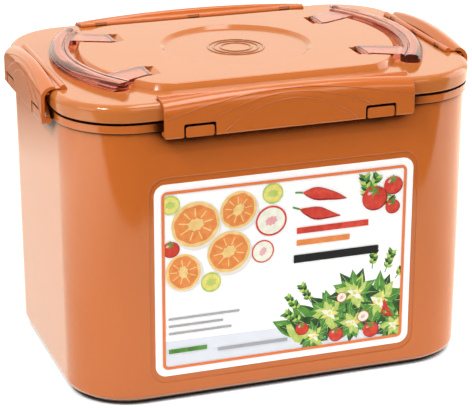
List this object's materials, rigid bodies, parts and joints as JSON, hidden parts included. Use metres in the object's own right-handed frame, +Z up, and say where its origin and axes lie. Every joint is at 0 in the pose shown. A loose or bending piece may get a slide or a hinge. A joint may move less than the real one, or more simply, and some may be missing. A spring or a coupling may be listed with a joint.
{
  "type": "food keeper with press plate",
  "caption": "Rectangular terracotta plastic food keeper with an inner press plate, a flat lid, swing latches on every side and swing-up bail handles on the lid.",
  "frame": {"origin": "middle of the underside, on the surface that the tub stands on", "axes": "+X along the long side, to the right as the label is read; +Y towards the back; +Z up"},
  "size_m": [0.3184, 0.232, 0.2277],
  "materials": {
    "tub_plastic": "glossy",
    "lid_plastic": "glossy",
    "handle_plastic": "glossy translucent",
    "silicone": "satin",
    "label_film": "glossy film"
  },
  "bodies": {
    "container": {"container_body": "tub_plastic", "label": "label_film"},
    "lid": {"lid": "lid_plastic", "lid_gasket": "silicone"},
    "latch_front": {"latch_front": "tub_plastic"},
    "latch_back": {"latch_back": "tub_plastic"},
    "latch_left": {"latch_left": "tub_plastic"},
    "latch_right": {"latch_right": "tub_plastic"},
    "handle_left": {"handle_left": "handle_plastic"},
    "handle_right": {"handle_right": "handle_plastic"},
    "press": {"press_plate": "lid_plastic", "press_gasket": "silicone"},
    "press_handle": {"press_handle": "tub_plastic"},
    "vent_plug": {"vent_plug": "silicone"}
  },
  "joints": [
    {"name": "lid_lift", "type": "slide", "parent": "container", "child": "lid", "axis": [0, 0, 1], "range_m": [0, 0.1]},
    {"name": "latch_front_swing", "type": "hinge", "parent": "lid", "child": "latch_front", "pos_m": [0, -0.0998, 0.2211], "axis": [-1, 0, 0], "range_deg": [0, 95]},
    {"name": "latch_back_swing", "type": "hinge", "parent": "lid", "child": "latch_back", "pos_m": [0, 0.0998, 0.2211], "axis": [1, 0, 0], "range_deg": [0, 95]},
    {"name": "latch_left_swing", "type": "hinge", "parent": "lid", "child": "latch_left", "pos_m": [-0.143, 0, 0.2211], "axis": [0, 1, 0], "range_deg": [0, 95]},
    {"name": "latch_right_swing", "type": "hinge", "parent": "lid", "child": "latch_right", "pos_m": [0.143, 0, 0.2211], "axis": [0, -1, 0], "range_deg": [0, 95]},
    {"name": "handle_left_swing", "type": "hinge", "parent": "lid", "child": "handle_left", "pos_m": [-0.0808, 0, 0.2229], "axis": [0, 1, 0], "range_deg": [0, 90]},
    {"name": "handle_right_swing", "type": "hinge", "parent": "lid", "child": "handle_right", "pos_m": [0.0808, 0, 0.2229], "axis": [0, -1, 0], "range_deg": [0, 90]},
    {"name": "press_slide", "type": "slide", "parent": "container", "child": "press", "axis": [0, 0, 1], "range_m": [-0.125, 0.02]},
    {"name": "press_handle_swing", "type": "hinge", "parent": "press", "child": "press_handle", "pos_m": [0, 0, 0.15], "axis": [1, 0, 0], "range_deg": [0, 90]},
    {"name": "vent_plug_lift", "type": "slide", "parent": "press", "child": "vent_plug", "axis": [0, 0, 1], "range_m": [0, 0.012]}
  ]
}
